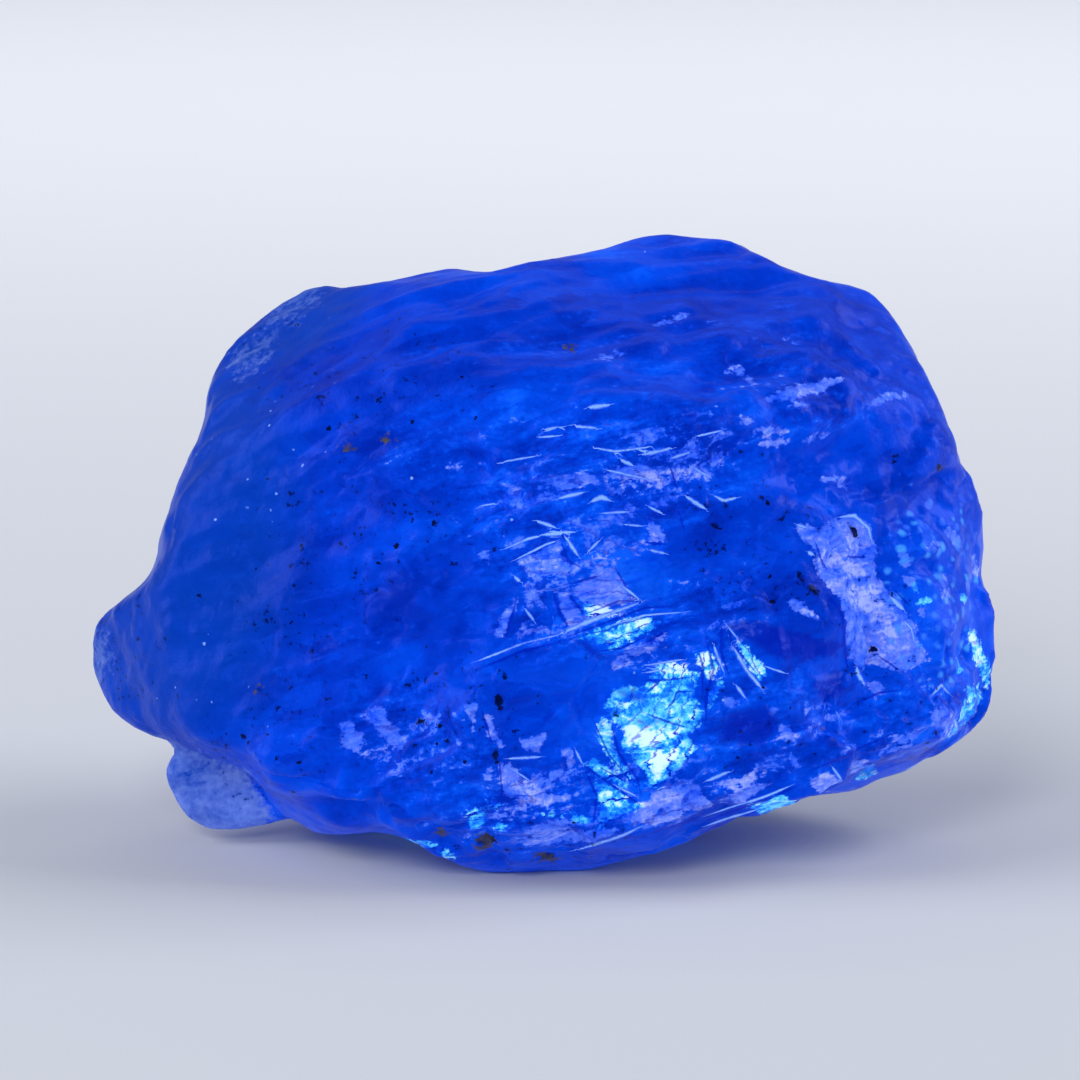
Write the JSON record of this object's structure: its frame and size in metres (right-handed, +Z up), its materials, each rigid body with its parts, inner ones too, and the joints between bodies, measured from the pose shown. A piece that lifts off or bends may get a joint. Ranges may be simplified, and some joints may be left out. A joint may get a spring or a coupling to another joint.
{
  "type": "rough tanzanite",
  "caption": "Rough tanzanite crystal fragment: a blocky, broken blue stone with cleavage ledges, ripples and thin chipped edges, that stands free on a small flat spot",
  "frame": {"origin": "middle of the stone's box in plan, on the level of the flat that it stands on", "axes": "+X to the right of the front face, along the stone's longest way; +Y away from the front; +Z up"},
  "size_m": [0.026, 0.0154, 0.0171],
  "materials": {
    "tanzanite": "translucent violet-blue crystal, glassy on fresh cleavage and frosted on the old skin"
  },
  "bodies": {
    "root": {"stone": "tanzanite"}
  },
  "joints": []
}
